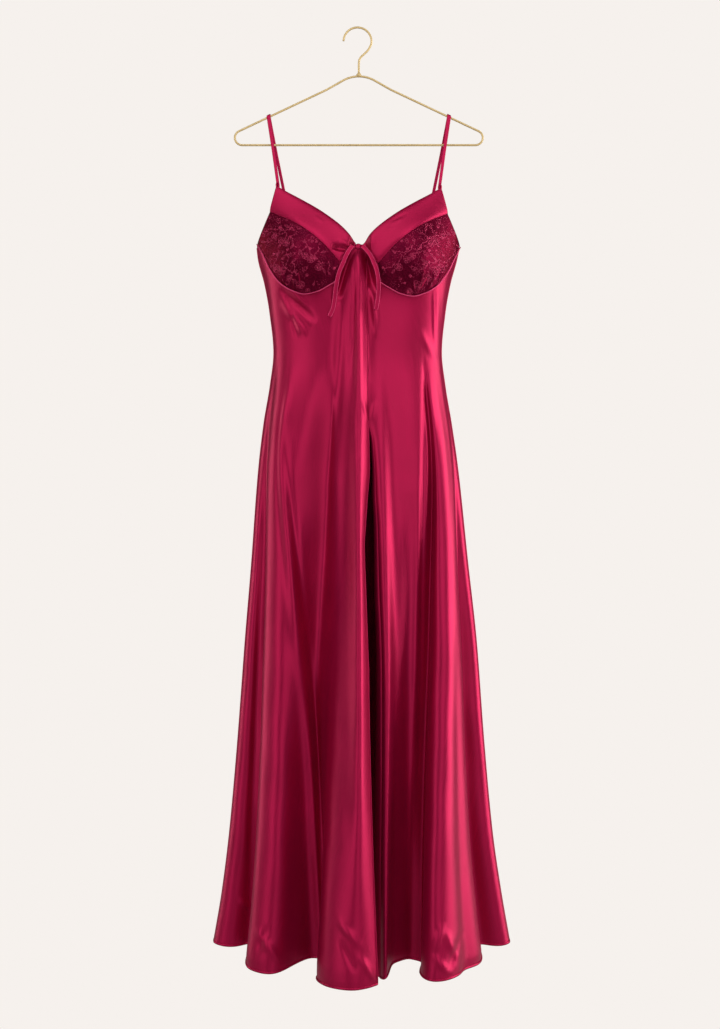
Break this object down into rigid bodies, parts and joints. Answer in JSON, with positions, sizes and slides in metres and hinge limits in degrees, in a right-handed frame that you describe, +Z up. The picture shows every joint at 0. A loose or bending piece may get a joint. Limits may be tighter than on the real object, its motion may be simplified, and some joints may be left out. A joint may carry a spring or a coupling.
{
  "type": "lace-cup satin slip gown on a wire hanger",
  "caption": "Full-length satin slip gown with lace cups, thin straps, a small bow and a front slit, hanging from a bent wire hanger by its hook.",
  "frame": {"origin": "the underside of the hook's crown, where the hanger rests on what holds it up", "axes": "+Z up along the gown's length, +X to the viewer's right across the hanger, the gown's front faces -Y"},
  "size_m": [0.4953, 0.3517, 1.5587],
  "materials": {
    "satin": "glossy crimson satin",
    "lace": "wine lace with corded motifs",
    "trim": "crimson satin bias trim",
    "hanger": "pale gold plated wire"
  },
  "bodies": {
    "root": {"front_left": "satin", "front_right": "satin", "back": "satin", "cup_left": "satin", "cup_right": "satin", "band_left": "satin", "band_right": "satin", "lace_left": "lace", "lace_right": "lace", "piping_left": "trim", "piping_right": "trim", "strap_left": "trim", "strap_right": "trim", "strap_loop_left": "trim", "strap_loop_right": "trim", "bow_knot": "trim", "bow_loop": "trim", "bow_tail_left": "trim", "bow_tail_right": "trim", "hanger_frame": "hanger", "hanger_hook": "hanger", "hanger_collar": "hanger"}
  },
  "joints": []
}
